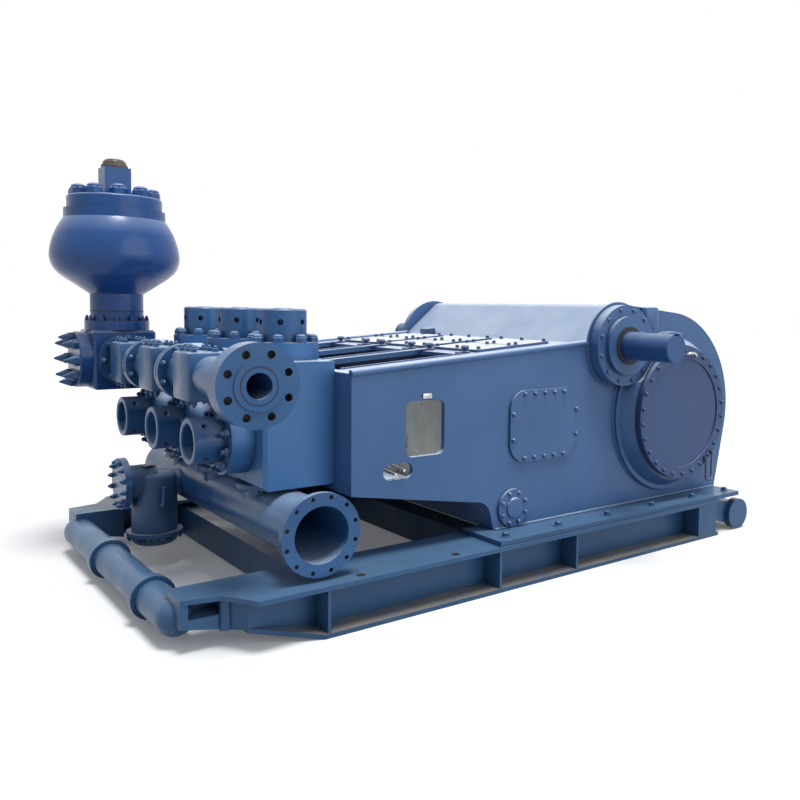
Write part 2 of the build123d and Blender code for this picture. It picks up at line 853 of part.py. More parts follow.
with BuildPart() as dampener_valve_block:
    with Locations((manifold_x, cross_y, mouth_top_z + dampener_cover_h)):
        Box(
            valve_block_side,
            valve_block_side,
            valve_block_h,
            align=(Align.CENTER, Align.CENTER, Align.MIN),
        )
    with BuildSketch(Plane.XY.offset(mouth_top_z + dampener_cover_h + valve_block_h)):
        with Locations((manifold_x, cross_y)):
            Circle(valve_cap_r)
    extrude(amount=valve_cap_h)
    fillet(dampener_valve_block.faces().sort_by(Axis.Z)[-1].edges(), valve_cap_h * 0.6)
save(dampener_valve_block, "dampener_valve_block")

# ---- suction ----
with BuildPart() as suction_stabilizer:
    with BuildSketch(Plane.XY.offset(stabilizer_bottom_z)):
        with Locations((stabilizer_x, stabilizer_y)):
            Circle(stabilizer_r)
    extrude(amount=stabilizer_top_z - stabilizer_bottom_z)
    fillet(suction_stabilizer.faces().sort_by(Axis.Z)[0].edges(), stabilizer_r * 0.3)
    fillet(suction_stabilizer.faces().sort_by(Axis.Z)[-1].edges(), stabilizer_r * 0.3)
    with BuildSketch(Plane.YZ.offset(stabilizer_x)):
        with Locations((stabilizer_y, stabilizer_face_z)):
            Circle(stabilizer_neck_r)
    extrude(amount=-stabilizer_neck_depth)
save(suction_stabilizer, "suction_stabilizer")

with BuildPart() as suction_manifold:
    with BuildSketch(side_plane(-1, -suction_face_y)):
        with Locations((suction_x, suction_z)):
            Circle(suction_flange_r)
    extrude(amount=-suction_flange_t)
    with BuildSketch(side_plane(-1, -suction_face_y)):
        with Locations((suction_x, suction_z)):
            Circle(suction_r)
    extrude(amount=suction_face_y - suction_end_y)
    for bore in BORES.values():
        with BuildSketch(Plane.XY.offset(module_bottom_z)):
            with Locations((suction_x, bore * bore_pitch)):
                Circle(riser_flange_r)
        extrude(amount=-riser_flange_t)
        with BuildSketch(Plane.XY.offset(module_bottom_z)):
            with Locations((suction_x, bore * bore_pitch)):
                Circle(riser_r)
        extrude(amount=suction_z - module_bottom_z)
    # Link to the stabilizer.
    with BuildSketch(Plane.YZ.offset(suction_x)):
        with Locations((stabilizer_y, suction_z)):
            Circle(stabilizer_link_r)
    extrude(amount=stabilizer_x + stabilizer_r / 2 - suction_x)
    add(suction_stabilizer.part, mode=Mode.SUBTRACT)
    # Bore, closed at the far end.
    with BuildSketch(side_plane(-1, -suction_face_y)):
        with Locations((suction_x, suction_z)):
            Circle(suction_bore_r)
    extrude(amount=suction_face_y - suction_end_y + suction_flange_t, mode=Mode.SUBTRACT)
    with BuildSketch(side_plane(-1, -suction_face_y)):
        with Locations((suction_x, suction_z)):
            with PolarLocations(suction_pcd / 2, suction_bolts, start_angle=180 / suction_bolts):
                Circle(suction_bolt_r)
    extrude(amount=-suction_flange_t, mode=Mode.SUBTRACT)
save(suction_manifold, "suction_manifold")

with BuildPart() as stabilizer_cover:
    with BuildSketch(Plane.YZ.offset(stabilizer_x - stabilizer_neck_depth)):
        with Locations((stabilizer_y, stabilizer_face_z)):
            Circle(stabilizer_cover_r)
    extrude(amount=-stabilizer_cover_t)
save(stabilizer_cover, "stabilizer_cover")
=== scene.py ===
import json
import math

import bmesh
import bpy
from mathutils import Matrix, Vector


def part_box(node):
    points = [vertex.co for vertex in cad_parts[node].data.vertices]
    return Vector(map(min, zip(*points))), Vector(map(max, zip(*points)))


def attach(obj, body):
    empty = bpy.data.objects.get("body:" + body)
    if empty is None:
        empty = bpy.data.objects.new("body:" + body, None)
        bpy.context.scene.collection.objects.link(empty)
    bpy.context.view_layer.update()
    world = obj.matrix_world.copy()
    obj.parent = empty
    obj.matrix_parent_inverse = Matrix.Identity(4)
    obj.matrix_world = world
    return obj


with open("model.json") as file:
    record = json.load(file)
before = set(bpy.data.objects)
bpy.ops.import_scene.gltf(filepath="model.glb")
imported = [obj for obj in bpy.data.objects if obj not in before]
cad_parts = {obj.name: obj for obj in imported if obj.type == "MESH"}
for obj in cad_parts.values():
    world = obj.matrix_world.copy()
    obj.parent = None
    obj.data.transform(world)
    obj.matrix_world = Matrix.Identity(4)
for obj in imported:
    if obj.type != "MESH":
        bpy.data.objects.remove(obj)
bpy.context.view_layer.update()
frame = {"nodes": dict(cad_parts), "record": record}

SIDES = {"near": -1.0, "far": 1.0}
BORES = ("near", "middle", "far")
UP, DOWN = Vector((0, 0, 1)), Vector((0, 0, -1))
FRONT, REAR = Vector((-1, 0, 0)), Vector((1, 0, 0))
FULL_TURN = 2 * math.pi


# ---- materials ----
class Recipe:
    """Small helper that wires one material's nodes."""

    def __init__(self, name):
        self.material = bpy.data.materials.new(name)
        self.material.use_nodes = True
        self.tree = self.material.node_tree
        self.tree.nodes.clear()
        self.shader = self.add("ShaderNodeBsdfPrincipled")
        self.output = self.add("ShaderNodeOutputMaterial")
        self.join(self.shader.outputs["BSDF"], self.output.inputs["Surface"])
        self.place = self.add("ShaderNodeTexCoord").outputs["Object"]
        normal = self.add("ShaderNodeSeparateXYZ")
        self.join(self.add("ShaderNodeNewGeometry").outputs["Normal"], normal.inputs[0])
        self.facing_up = normal.outputs["Z"]

    def add(self, kind):
        return self.tree.nodes.new(kind)

    def join(self, source, target):
        self.tree.links.new(source, target)

    def noise(self, scale, detail=4.0, roughness=0.55, stretch=(1, 1, 1)):
        """Noise value on the object's own coordinates."""
        mapping = self.add("ShaderNodeMapping")
        mapping.inputs["Scale"].default_value = stretch
        self.join(self.place, mapping.inputs["Vector"])
        node = self.add("ShaderNodeTexNoise")
        node.inputs["Scale"].default_value = scale
        node.inputs["Detail"].default_value = detail
        node.inputs["Roughness"].default_value = roughness
        self.join(mapping.outputs["Vector"], node.inputs["Vector"])
        return node.outputs["Fac"]

    def ramp(self, value, low, high, start=0.0, end=1.0):
        """Value stretched between two limits, kept inside them."""
        node = self.add("ShaderNodeMapRange")
        node.inputs["From Min"].default_value = low
        node.inputs["From Max"].default_value = high
        node.inputs["To Min"].default_value = start
        node.inputs["To Max"].default_value = end
        self.join(value, node.inputs["Value"])
        return node.outputs["Result"]

    def product(self, first, second):
        node = self.add("ShaderNodeMath")
        node.operation = "MULTIPLY"
        self.join(first, node.inputs[0])
        self.join(second, node.inputs[1])
        return node.outputs[0]

    def below(self, height, soft):
        """1 below a height above the ground, 0 above it."""
        split = self.add("ShaderNodeSeparateXYZ")
        self.join(self.place, split.inputs[0])
        return self.ramp(split.outputs["Z"], height, height + soft, 1.0, 0.0)

    def occlusion_shade(self, reach, strength):
        """Value that grows in corners, from ambient occlusion: painted shade."""
        node = self.add("ShaderNodeAmbientOcclusion")
        node.samples = 4
        node.inputs["Distance"].default_value = reach
        return self.ramp(node.outputs["AO"], 0.35, 0.85, strength, 0.0)

    def blend(self, factor, first, second):
        """Colour mixed by a factor; each colour is a value or a socket."""
        node = self.add("ShaderNodeMix")
        node.data_type = "RGBA"
        self.join(factor, node.inputs[0])
        for socket, colour in ((node.inputs[6], first), (node.inputs[7], second)):
            if isinstance(colour, tuple):
                socket.default_value = (*colour, 1.0)
            else:
                self.join(colour, socket)
        return node.outputs[2]

    def bump(self, height, strength, distance):
        node = self.add("ShaderNodeBump")
        node.inputs["Strength"].default_value = strength
        node.inputs["Distance"].default_value = distance
        self.join(height, node.inputs["Height"])
        if self.shader.inputs["Normal"].is_linked:
            before = self.shader.inputs["Normal"].links[0].from_socket
            self.join(before, node.inputs["Normal"])
        self.join(node.outputs["Normal"], self.shader.inputs["Normal"])


def enamel(name, paint, shade, lit_colour, dust_height=0.0, casting=0.0, gloss=0.34, top_light=0.5, cap=None):
    """Semi-gloss machinery enamel: drifting tone, runs, tops lightened as a painted highlight, corners darkened as
    painted shade, and chips.
    """
    recipe = Recipe(name)
    colour = recipe.blend(recipe.ramp(recipe.noise(1.7, 5), 0.32, 0.68), paint, shade)
    runs = recipe.ramp(recipe.noise(7.0, 4, stretch=(1, 1, 0.12)), 0.52, 0.75, 0.0, 0.35)
    colour = recipe.blend(runs, colour, shade)
    # Up-facing surfaces lightened towards the lit colour: painted highlight of the light from above.
    lit_tops = recipe.ramp(recipe.facing_up, 0.35, 0.97, 0.0, top_light)
    lit_tops = recipe.product(lit_tops, recipe.ramp(recipe.noise(3.3, 6), 0.25, 0.6, 0.7, 1.0))
    colour = recipe.blend(lit_tops, colour, lit_colour)
    # Corners darkened by ambient occlusion: painted shade.
    colour = recipe.blend(recipe.occlusion_shade(0.06, 0.6), colour, NEAR_BLACK_NAVY)
    specks = recipe.ramp(recipe.noise(38.0, 3, 0.4), 0.775, 0.79)
    colour = recipe.blend(specks, colour, PRIMER)
    if dust_height:
        settled = recipe.product(recipe.ramp(recipe.facing_up, 0.5, 0.95), recipe.below(dust_height, 0.03))
        settled = recipe.product(settled, recipe.ramp(recipe.noise(4.5, 7), 0.3, 0.62, 0.35, 0.95))
        colour = recipe.blend(settled, colour, DUST)
    if cap:
        colour = recipe.blend(recipe.below(cap[1], 0.004), cap[0], colour)
    recipe.join(colour, recipe.shader.inputs["Base Color"])
    rough = recipe.ramp(recipe.noise(5.2, 6), 0.3, 0.7, gloss - 0.07, gloss + 0.13)
    recipe.join(rough, recipe.shader.inputs["Roughness"])
    recipe.shader.inputs["Specular IOR Level"].default_value = 0.3
    recipe.shader.inputs["Coat Weight"].default_value = 0.08
    recipe.shader.inputs["Coat Roughness"].default_value = 0.2
    recipe.bump(recipe.noise(2.6, 3), 0.25, 0.006)
    recipe.bump(recipe.noise(160.0, 2), 0.12, 0.0006)
    if casting:
        recipe.bump(recipe.noise(34.0, 5), casting, 0.0022)
    return recipe.material


def bare_metal(name, colour, tarnish, rough):
    """Machined or weathered metal with fine turning marks."""
    recipe = Recipe(name)
    tone = recipe.blend(recipe.ramp(recipe.noise(24.0, 6), 0.35, 0.7), colour, tarnish)
    recipe.join(tone, recipe.shader.inputs["Base Color"])
    recipe.join(recipe.ramp(recipe.noise(60.0, 4), 0.3, 0.7, rough - 0.1, rough + 0.1), recipe.shader.inputs["Roughness"])
    recipe.shader.inputs["Metallic"].default_value = 0.85
    recipe.bump(recipe.noise(300.0, 2), 0.15, 0.0004)
    return recipe.material


def plain_finish(name, colour, second, rough, scale=30.0):
    """Dull rubber, rust or printed-card surface with a mottled tone."""
    recipe = Recipe(name)
    tone = recipe.blend(recipe.ramp(recipe.noise(scale, 5), 0.3, 0.7), colour, second)
    recipe.join(tone, recipe.shader.inputs["Base Color"])
    recipe.join(recipe.ramp(recipe.noise(scale * 2, 3), 0.3, 0.7, rough - 0.08, rough + 0.08), recipe.shader.inputs["Roughness"])
    recipe.bump(recipe.noise(scale * 4, 3), 0.2, 0.0008)
    return recipe.material


# Near-black navy: the painted corner shade, and the chamber wall's lower part.
NEAR_BLACK_NAVY = (0.008, 0.014, 0.035)
PRIMER = (0.016, 0.024, 0.05)
DUST = (0.25, 0.215, 0.165)
# Lit colour for the painted highlight on up-facing surfaces.
LIT_BLUE = (0.66, 0.76, 0.92)
WALL_BLUE, WALL_SHADE = (0.072, 0.158, 0.345), (0.056, 0.132, 0.295)
frame_enamel = enamel("frame_enamel", WALL_BLUE, WALL_SHADE, LIT_BLUE, top_light=0.95)
# Deck lids: near-white painted highlight on their tops.
lid_enamel = enamel("lid_enamel", WALL_BLUE, WALL_SHADE, (0.90, 0.93, 0.96), top_light=0.97)
cover_enamel = enamel("cover_enamel", (0.042, 0.088, 0.225), (0.032, 0.070, 0.185), LIT_BLUE, top_light=0.6)
skid_enamel = enamel(
    "skid_enamel", (0.040, 0.120, 0.255), (0.028, 0.086, 0.195), (0.20, 0.30, 0.42), dust_height=0.05, top_light=0.3
)
fluid_end_enamel = enamel(
    "fluid_end_enamel", (0.040, 0.138, 0.320), (0.020, 0.080, 0.210), LIT_BLUE, casting=0.35, gloss=0.3, top_light=0.4
)
# Lighter copy of the fluid-end enamel for the modules: painted light on faces that the manifold shades.
lit_module_enamel = enamel("lit_module_enamel", (0.060, 0.180, 0.400), (0.044, 0.140, 0.330), LIT_BLUE, casting=0.15, top_light=0.8)
dampener_enamel = enamel(
    "dampener_enamel", (0.018, 0.088, 0.290), (0.012, 0.062, 0.220), LIT_BLUE, casting=0.12, gloss=0.26, top_light=0.5
)
shaft_enamel = enamel("shaft_enamel", (0.034, 0.108, 0.290), (0.026, 0.085, 0.235), LIT_BLUE, gloss=0.28, top_light=0.3)
weathered_enamel = enamel(
    "weathered_enamel", (0.090, 0.170, 0.310), (0.028, 0.082, 0.200), LIT_BLUE, casting=0.5, gloss=0.42, top_light=0.4
)
bright_steel = bare_metal("bright_steel", (0.60, 0.61, 0.63), (0.36, 0.37, 0.40), 0.3)
gasket_black = plain_finish("gasket_black", (0.012, 0.014, 0.02), (0.02, 0.022, 0.03), 0.7)
rust_brown = plain_finish("rust_brown", (0.13, 0.095, 0.07), (0.07, 0.055, 0.045), 0.6)
tag_white = plain_finish("tag_white", (0.66, 0.68, 0.70), (0.5, 0.53, 0.57), 0.5)
sight_glass = plain_finish("sight_glass", (0.05, 0.08, 0.13), (0.03, 0.05, 0.09), 0.2)


def dusty_primer(name):
    """Cream primer inside the liner chamber, dusty, with dark oil smears."""
    recipe = Recipe(name)
    tone = recipe.blend(recipe.ramp(recipe.noise(6.0, 5), 0.3, 0.7), (0.86, 0.77, 0.60), (0.70, 0.61, 0.46))
    smears = recipe.ramp(recipe.noise(7.0, 5, 0.6, (1, 1.6, 0.7)), 0.60, 0.68, 0.0, 0.85)
    tone = recipe.blend(smears, tone, (0.06, 0.05, 0.045))
    # The wall turns near-black below 1.12 m.
    tone = recipe.blend(recipe.below(1.12, 0.04), NEAR_BLACK_NAVY, tone)
    recipe.join(tone, recipe.shader.inputs["Base Color"])
    recipe.shader.inputs["Roughness"].default_value = 0.7
    recipe.bump(recipe.noise(70.0, 4), 0.2, 0.001)
    return recipe.material


chamber_primer = dusty_primer("chamber_primer")

# The relief valve's block is enamelled up to its weathered brown cap.
CAP_FOOT_Z = 2.626
valve_enamel = enamel(
    "valve_enamel", (0.022, 0.100, 0.300), (0.014, 0.070, 0.225), LIT_BLUE, casting=0.2, top_light=0.3,
    cap=((0.105, 0.085, 0.065), CAP_FOOT_Z),
)

SLOT_FINISH = {
    "frame_paint": frame_enamel,
    "skid_paint": skid_enamel,
    "fluid_end_paint": fluid_end_enamel,
    "dampener_paint": dampener_enamel,
    "shaft_steel": shaft_enamel,
}
NODE_FINISH = {
    "near_bearing_cover": cover_enamel,
    "far_bearing_cover": cover_enamel,
    "chamber_rear_wall": chamber_primer,
    "deck_covers": lid_enamel,
    "near_module": lit_module_enamel,
    "middle_module": lit_module_enamel,
    "far_module": lit_module_enamel,
    "suction_stabilizer": weathered_enamel,
    "dampener_valve_block": valve_enamel,
    "discharge_cross": dampener_enamel,
    "cross_blind_flange": dampener_enamel,
}
for part in frame["record"]["subparts"]:
    mesh = frame["nodes"][part["node"]].data
    mesh.materials.clear()
    mesh.materials.append(NODE_FINISH.get(part["node"], SLOT_FINISH[part["material_slot"]]))


# ---- modelling helpers ----
def finish_mesh(bm, name):
    """Closes a shape up, points its faces outwards and turns it into a mesh."""
    bmesh.ops.remove_doubles(bm, verts=bm.verts, dist=1e-6)
    bmesh.ops.recalc_face_normals(bm, faces=bm.faces)
    mesh = bpy.data.meshes.new(name)
    bm.to_mesh(mesh)
    bm.free()
    return mesh


def add_piece(name, mesh, finish, body="pump", smooth_angle=35):
    """Puts a finished mesh on the object as a named piece."""
    piece = bpy.data.objects.new(name, mesh)
    mesh.materials.clear()
    mesh.materials.append(finish)
    bpy.context.scene.collection.objects.link(piece)
    if smooth_angle:
        mesh.shade_smooth()
        mesh.set_sharp_from_angle(angle=math.radians(smooth_angle))
    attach(piece, body)
    return piece


def turned(profile, segments=24):
    """Shape turned about Z from (radius, height) pairs."""
    bm = bmesh.new()
    verts = [bm.verts.new((radius, 0, height)) for radius, height in profile]
    edges = [bm.edges.new(pair) for pair in zip(verts, verts[1:])]
    bmesh.ops.spin(bm, geom=verts + edges, axis=UP, cent=(0, 0, 0), angle=FULL_TURN, steps=segments, use_merge=True)
    return bm


def add_prism(bm, sides, radius, low, high, chamfer=0.12):
    """Prism standing on a height, its top edge chamfered."""
    made = bmesh.ops.create_cone(
        bm, cap_ends=True, segments=sides, radius1=radius, radius2=radius, depth=high - low,
        matrix=Matrix.Translation((0, 0, (low + high) / 2)),
    )
    rim = [e for e in {e for v in made["verts"] for e in v.link_edges} if all(v.co.z > high - 1e-5 for v in e.verts)]
    bmesh.ops.bevel(bm, geom=rim, offset=radius * chamfer, offset_type="OFFSET", affect="EDGES", segments=1, profile=0.5, material=-1)


def bolt_shape(radius, height):
    """Hexagon bolt head on a washer."""
    bm = bmesh.new()
    add_prism(bm, 16, radius * 1.35, 0, height * 0.2, 0.05)
    add_prism(bm, 6, radius, height * 0.2, height)
    return finish_mesh(bm, "bolt_shape")


def nut_shape(radius, height, stud, point=0.5):
    """Heavy hexagon nut with the end of its stud standing out."""
    bm = bmesh.new()
    add_prism(bm, 6, radius, 0, height)
    add_prism(bm, 12, radius * 0.58, height * 0.9, height + stud, point)
    return finish_mesh(bm, "nut_shape")


def pointed_nut_shape(radius, height, tip):
    """Hexagon nut with a cone-shaped protector screwed over its stud."""
    bm = bmesh.new()
    add_prism(bm, 6, radius, 0, height)
    bmesh.ops.create_cone(
        bm, cap_ends=True, segments=14, radius1=radius * 0.86, radius2=radius * 0.16, depth=tip,
        matrix=Matrix.Translation((0, 0, height * 0.96 + tip / 2)),
    )
    return finish_mesh(bm, "pointed_nut_shape")


def dome_nut_shape(radius, height):
    """Hexagon nut closed by a dome."""
    bm = bmesh.new()
    add_prism(bm, 6, radius, 0, height * 0.62, 0.1)
    dome = turned([(radius * 0.86, height * 0.58), (radius * 0.78, height * 0.8), (radius * 0.45, height * 0.96), (0, height)], 12)
    shape = bpy.data.meshes.new("dome")
    dome.to_mesh(shape)
    dome.free()
    bm.from_mesh(shape)
    return finish_mesh(bm, "dome_nut_shape")


def copies(shape, places):
    """One mesh with a copy of a shape at every place."""
    bm = bmesh.new()
    for place in places:
        before = len(bm.verts)
        bm.from_mesh(shape)
        bm.verts.ensure_lookup_table()
        bmesh.ops.transform(bm, matrix=place, verts=bm.verts[before:])
    mesh = bpy.data.meshes.new("copies")
    bm.to_mesh(mesh)
    bm.free()
    return mesh


def facing(point, axis):
    """Place at a point with its local Z along an axis."""
    return Matrix.Translation(point) @ UP.rotation_difference(axis).to_matrix().to_4x4()


def bolt_circle(centre, axis, radius, count, start=0.0, sweep=360.0):
    """Places round a centre, from a start angle in degrees over a sweep."""
    base = facing(centre, axis)
    steps = count if sweep == 360.0 else count - 1
    return [
        base @ Matrix.Rotation(math.radians(start + sweep * i / steps), 4, "Z") @ Matrix.Translation((radius, 0, 0))
        for i in range(count)
    ]


def ring_mesh(profile, place, segments=64):
    """Turned shape put in its place."""
    bm = turned(profile, segments)
    bmesh.ops.transform(bm, matrix=place, verts=bm.verts)
    return finish_mesh(bm, "ring")


def band(inner, outer, low, high):
    """Closed profile of a flat ring for ring_mesh."""
    return [(inner, low), (outer, low), (outer, high), (inner, high), (inner, low)]


def rod_mesh(points, radius, resolution=2, smooth=True):
    """Bent rod that follows a few control points."""
    curve = bpy.data.curves.new("rod", "CURVE")
    curve.dimensions = "3D"
    curve.bevel_depth = radius
    curve.bevel_resolution = resolution
    curve.use_fill_caps = True
    spline = curve.splines.new("NURBS" if smooth else "POLY")
    spline.points.add(len(points) - 1)
    for target, point in zip(spline.points, points):
        target.co = (*point, 1)
    if smooth:
        spline.order_u = 3
        spline.use_endpoint_u = True
    holder = bpy.data.objects.new("rod", curve)
    bpy.context.scene.collection.objects.link(holder)
    bpy.context.view_layer.update()
    mesh = bpy.data.meshes.new_from_object(holder.evaluated_get(bpy.context.evaluated_depsgraph_get()))
    bpy.data.objects.remove(holder)
    bm = bmesh.new()
    bm.from_mesh(mesh)
    return finish_mesh(bm, "rod")


def joined(meshes):
    """Several meshes as one."""
    bm = bmesh.new()
    for mesh in meshes:
        bm.from_mesh(mesh)
    result = bpy.data.meshes.new("joined")
    bm.to_mesh(result)
    bm.free()
    return result


def block_mesh(low, high, bevel):
    """Box between two corners with rounded edges."""
    bm = bmesh.new()
    low, high = Vector(low), Vector(high)
    size = high - low
    bmesh.ops.create_cube(bm, size=1, matrix=Matrix.Translation((low + high) / 2) @ Matrix.Diagonal((*size, 1)))
    bmesh.ops.bevel(bm, geom=bm.edges[:], offset=bevel, offset_type="OFFSET", affect="EDGES", segments=2, profile=0.5, material=-1)
    return finish_mesh(bm, "block")


def placed(mesh, place):
    """A finished mesh moved to its place."""
    mesh.transform(place)
    return mesh


def mirrored(mesh, sign):
    """The mesh itself on the near side, its mirror image on the far side."""
    if sign > 0:
        mesh.transform(Matrix.Scale(-1, 4, (0, 1, 0)))
        mesh.flip_normals()
    return mesh


def middle(node):
    low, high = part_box(node)
    return (low + high) / 2


# ---- places read from the frame ----
cover_low, cover_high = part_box("near_bearing_cover")
crank = middle("near_bearing_cover")
cover_r = (cover_high.x - cover_low.x) / 2
cover_face = -cover_low.y
boss_low, boss_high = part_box("near_bearing_boss")
boss_face = -boss_low.y
hub_low, hub_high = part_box("near_pinion_hub")
pinion = middle("near_pinion_hub")
hub_r = (hub_high.x - hub_low.x) / 2
hub_face = -hub_low.y - 0.032
wall_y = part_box("far_sump_cover")[0].y

# ---- bearing covers ----
rim_bolt = bolt_shape(0.0125, 0.016)
for side, sign in SIDES.items():
    out = Vector((0, sign, 0))
    face = Vector((crank.x, sign * cover_face, crank.z))
    add_piece(f"{side}_cover_bolts", copies(rim_bolt, bolt_circle(face, out, cover_r - 0.026, 26, 7)), cover_enamel)
    groove = ring_mesh(band(cover_r - 0.001, cover_r + 0.004, -0.0445, -0.036), facing(face, out), 96)
    add_piece(f"{side}_cover_gasket", groove, gasket_black)
    # Bent lifting handle near the top of the cover.
    top = face + Vector((0.02, 0, cover_r - 0.045))
    handle = rod_mesh([top + Vector(p) for p in (
        (-0.05, 0, 0), (-0.05, sign * 0.045, 0.002), (-0.03, sign * 0.052, 0.012), (0.03, sign * 0.052, 0.006),
        (0.055, sign * 0.045, -0.02), (0.055, 0, -0.024))], 0.009)
    add_piece(f"{side}_cover_handle", handle, bright_steel)
    # Oil sight gauge: two fittings and a bent glass tube.
    foot = Vector((crank.x + 0.265, sign * boss_face, crank.z - 0.36))
    tube = rod_mesh([foot + Vector(p) for p in (
        (0, sign * 0.0, 0), (0, sign * 0.055, 0), (0, sign * 0.058, -0.04), (0, sign * 0.058, -0.13), (0.005, sign * 0.058, -0.17),
        (0.04, sign * 0.058, -0.178), (0.066, sign * 0.058, -0.16), (0.07, sign * 0.058, -0.12), (0.07, sign * 0.058, 0.03))], 0.0085)
    fittings = copies(nut_shape(0.017, 0.02, 0.006), [facing(foot, out), facing(foot + Vector((0.07, sign * 0.058, 0.025)), UP), facing(foot + Vector((0, sign * 0.04, 0)), out)])
    add_piece(f"{side}_sight_gauge", joined([tube, fittings]), sight_glass)

# ---- pinion hubs ----
hub_bolt = bolt_shape(0.012, 0.014)
for side, sign in SIDES.items():
    out = Vector((0, sign, 0))
    face = Vector((pinion.x, sign * hub_face, pinion.z))
    wall = Vector((pinion.x, sign * wall_y, pinion.z))
    add_piece(f"{side}_hub_bolts", copies(hub_bolt, bolt_circle(face, out, hub_r - 0.03, 12, 15)), frame_enamel)
    step = [(hub_r + 0.0005, 0.0), (hub_r + 0.022, 0.0), (hub_r + 0.022, 0.006), (hub_r + 0.018, 0.01), (hub_r + 0.0005, 0.01)]
    base = facing(wall, out)
    bm = turned(step + step[:1], 72)
    bmesh.ops.transform(bm, matrix=base, verts=bm.verts)
    # The ring stops where the bearing boss starts.
    cut = Vector((crank.x - pinion.x, 0, crank.z - pinion.z)).normalized()
    bmesh.ops.bisect_plane(bm, geom=bm.verts[:] + bm.edges[:] + bm.faces[:], plane_co=wall + cut * 0.15, plane_no=cut, clear_outer=True)
    bmesh.ops.holes_fill(bm, edges=[e for e in bm.edges if e.is_boundary], sides=0)
    add_piece(f"{side}_hub_ring", finish_mesh(bm, "hub_ring"), frame_enamel)
    seal = ring_mesh(band(0.105, 0.132, 0, 0.008), facing(Vector((pinion.x, sign * (hub_face + 0.032), pinion.z)), out), 48)
    add_piece(f"{side}_shaft_seal", seal, gasket_black)

# ---- crosshead and sump covers ----
for side, sign in SIDES.items():
    out = Vector((0, sign, 0))
    low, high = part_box(f"{side}_crosshead_cover")
    face_y = sign * max(abs(low.y), abs(high.y))
    xs = [low.x + 0.12 + (high.x - low.x - 0.26) * i / 4 for i in range(5)]
    spots = [(x, z) for x in xs for z in (low.z + 0.025, high.z - 0.025)]
    spots += [(low.x + 0.025, low.z + 0.15), (low.x + 0.025, high.z - 0.15), (high.x - 0.025, low.z + 0.15), (high.x - 0.025, high.z - 0.15)]
    places = [facing(Vector((x, face_y, z)), out) for x, z in spots]
    add_piece(f"{side}_crosshead_bolts", copies(rim_bolt, places), frame_enamel)
    low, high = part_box(f"{side}_sump_cover")
    face = Vector(((low.x + high.x) / 2, sign * max(abs(low.y), abs(high.y)), (low.z + high.z) / 2))
    radius = (high.x - low.x) / 2
    add_piece(f"{side}_sump_bolts", copies(rim_bolt, bolt_circle(face, out, radius - 0.022, 8, 22.5)), frame_enamel)
    rim = ring_mesh([(0, 0), (radius * 0.55, 0), (radius * 0.5, 0.012), (0, 0.014)], facing(face, out), 40)
    add_piece(f"{side}_sump_boss", rim, frame_enamel)

# ---- fluid end ----
cap_nut = dome_nut_shape(0.034, 0.048)
plug_nut = nut_shape(0.024, 0.026, 0.022)
port_nut = nut_shape(0.021, 0.024, 0.02)
manifold_low, manifold_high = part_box("discharge_manifold")
for bore in BORES:
    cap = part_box(f"{bore}_valve_cap")
    axis_at = (cap[0] + cap[1]) / 2
    boss_top = Vector((axis_at.x, axis_at.y, cap[0].z))
    add_piece(f"{bore}_cap_nuts", copies(cap_nut, bolt_circle(boss_top, UP, 0.167, 8, 12)), fluid_end_enamel)
    recess = ring_mesh([(0.0, 0.0), (0.0, 0.004), (0.05, 0.004), (0.056, 0.0), (0, 0)], facing(Vector((axis_at.x, axis_at.y, cap[1].z)), UP), 32)
    add_piece(f"{bore}_cap_centre", recess, fluid_end_enamel)
    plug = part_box(f"{bore}_cylinder_plug")
    bore_at = (plug[0] + plug[1]) / 2
    boss = Vector((plug[1].x, bore_at.y, bore_at.z))
    add_piece(f"{bore}_plug_nuts", copies(plug_nut, bolt_circle(boss, FRONT, 0.163, 10, 0)), fluid_end_enamel)
    # Square drive in the floor of the plug.
    floor = Vector((plug[0].x + 0.105, bore_at.y, bore_at.z))
    drive = ring_mesh([(0, 0), (0.045, 0), (0.04, 0.02), (0.02, 0.024), (0, 0.024)], facing(floor, FRONT), 24)
    add_piece(f"{bore}_plug_centre", drive, fluid_end_enamel)
    port = Vector((-1.721, bore_at.y, (manifold_low.z + manifold_high.z) / 2))
    studs = bolt_circle(port, FRONT, 0.125, 3, 60, 60) + bolt_circle(port, FRONT, 0.125, 3, 240, 60)
    add_piece(f"{bore}_port_nuts", copies(port_nut, studs), fluid_end_enamel)

# ---- discharge line: outlet face, tees, cross and blind flange ----
cross_low, cross_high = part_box("discharge_cross")
cross_at = middle("discharge_cross")
line_x, line_z = cross_at.x, cross_at.z
NEAR_OUT, FAR_OUT = Vector((0, -1, 0)), Vector((0, 1, 0))
LINE_R = 0.1115
CROSS_FLANGE_T = 0.036
bore_pitch = middle("far_module").y - middle("middle_module").y

outlet = Vector((line_x, manifold_low.y, line_z))
groove = ring_mesh(band(0.0895, 0.0955, -0.002, 0.0006), facing(outlet, NEAR_OUT), 64)
add_piece("outlet_ring_groove", groove, gasket_black)

# Dark sleeves inside the bolt holes of the two outlet flanges: painted shade that keeps the holes dark.
OUTLET_HOLE_R, SUCTION_HOLE_R, SHADE_SLEEVE_WALL = 0.02065, 0.012, 0.0008
shade_sleeve = ring_mesh(band(OUTLET_HOLE_R - SHADE_SLEEVE_WALL, OUTLET_HOLE_R, -0.106, -0.008), Matrix.Identity(4), 20)
add_piece("outlet_hole_shade_sleeves", copies(shade_sleeve, bolt_circle(outlet, NEAR_OUT, 0.1619, 8, 22.5)),
          gasket_black)
suction_face = Vector((-1.45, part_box("suction_manifold")[0].y, 0.517))
shade_sleeve = ring_mesh(band(SUCTION_HOLE_R - SHADE_SLEEVE_WALL, SUCTION_HOLE_R, -0.037, -0.001), Matrix.Identity(4), 16)
add_piece("suction_hole_shade_sleeves", copies(shade_sleeve, bolt_circle(suction_face, NEAR_OUT, 0.200, 12, 15)),
          gasket_black)

